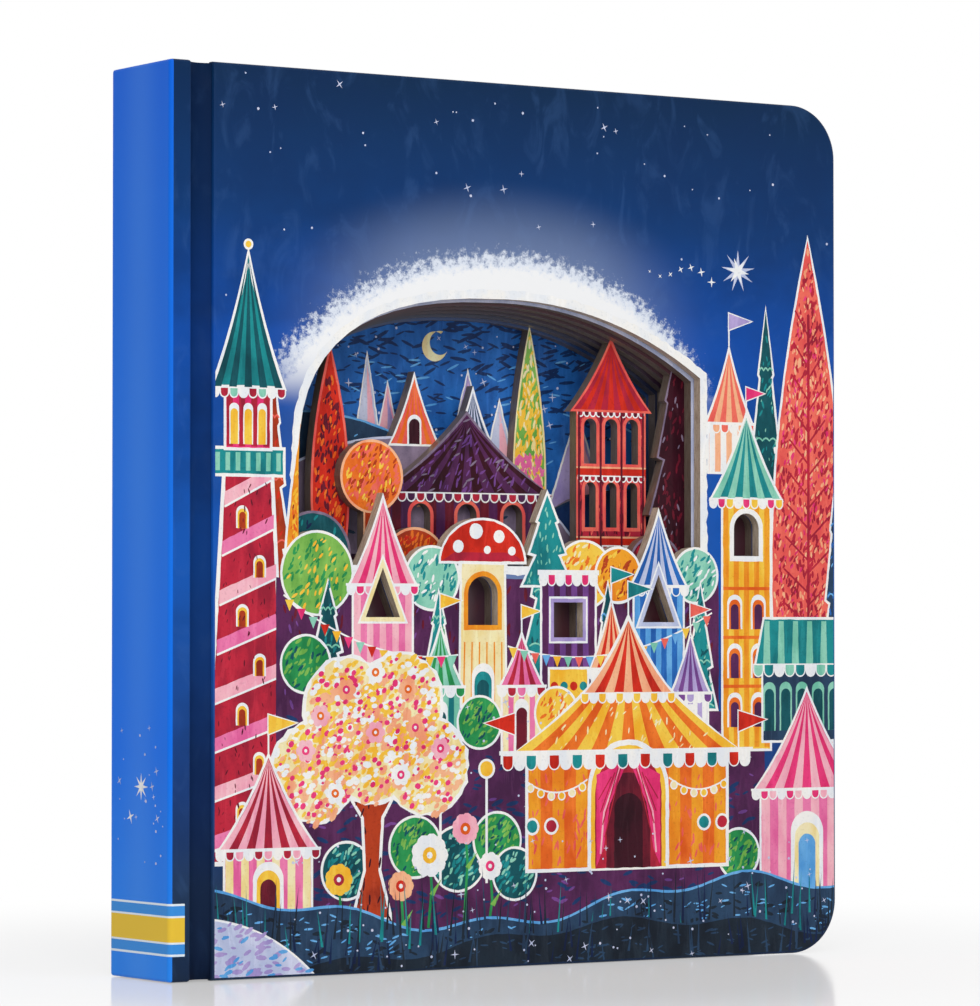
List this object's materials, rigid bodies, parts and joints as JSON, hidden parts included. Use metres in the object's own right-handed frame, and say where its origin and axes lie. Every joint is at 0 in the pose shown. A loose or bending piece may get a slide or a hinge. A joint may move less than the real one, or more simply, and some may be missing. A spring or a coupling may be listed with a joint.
{
  "type": "peek-through picture book",
  "caption": "Upright board book in a hinged hard case, with an arched window and small peepholes cut in the front cover over a stepped tunnel of die-cut leaves.",
  "frame": {"origin": "centre of the closed book's bounding box, on the surface that it stands on", "axes": "+Z from the tail edge up to the head, +X from the spine to the fore edge, +Y from the front cover to the back cover"},
  "size_m": [0.19, 0.0282, 0.21],
  "materials": {
    "printed_cover": "gloss",
    "printed_spine": "gloss",
    "printed_leaves": "satin"
  },
  "bodies": {
    "book": {"spine_cover": "printed_spine", "front_hinge": "printed_cover", "back_hinge": "printed_cover", "page_block": "printed_leaves"},
    "front_cover": {"front_cover": "printed_cover"},
    "back_cover": {"back_cover": "printed_cover"}
  },
  "joints": [
    {"name": "front_cover_hinge", "type": "hinge", "parent": "book", "child": "front_cover", "pos_m": [-0.0866, -0.0144, 0.105], "axis": [0, 0, -1], "range_deg": [0, 180]},
    {"name": "back_cover_hinge", "type": "hinge", "parent": "book", "child": "back_cover", "pos_m": [-0.0866, 0.0144, 0.105], "axis": [0, 0, 1], "range_deg": [0, 180]}
  ]
}
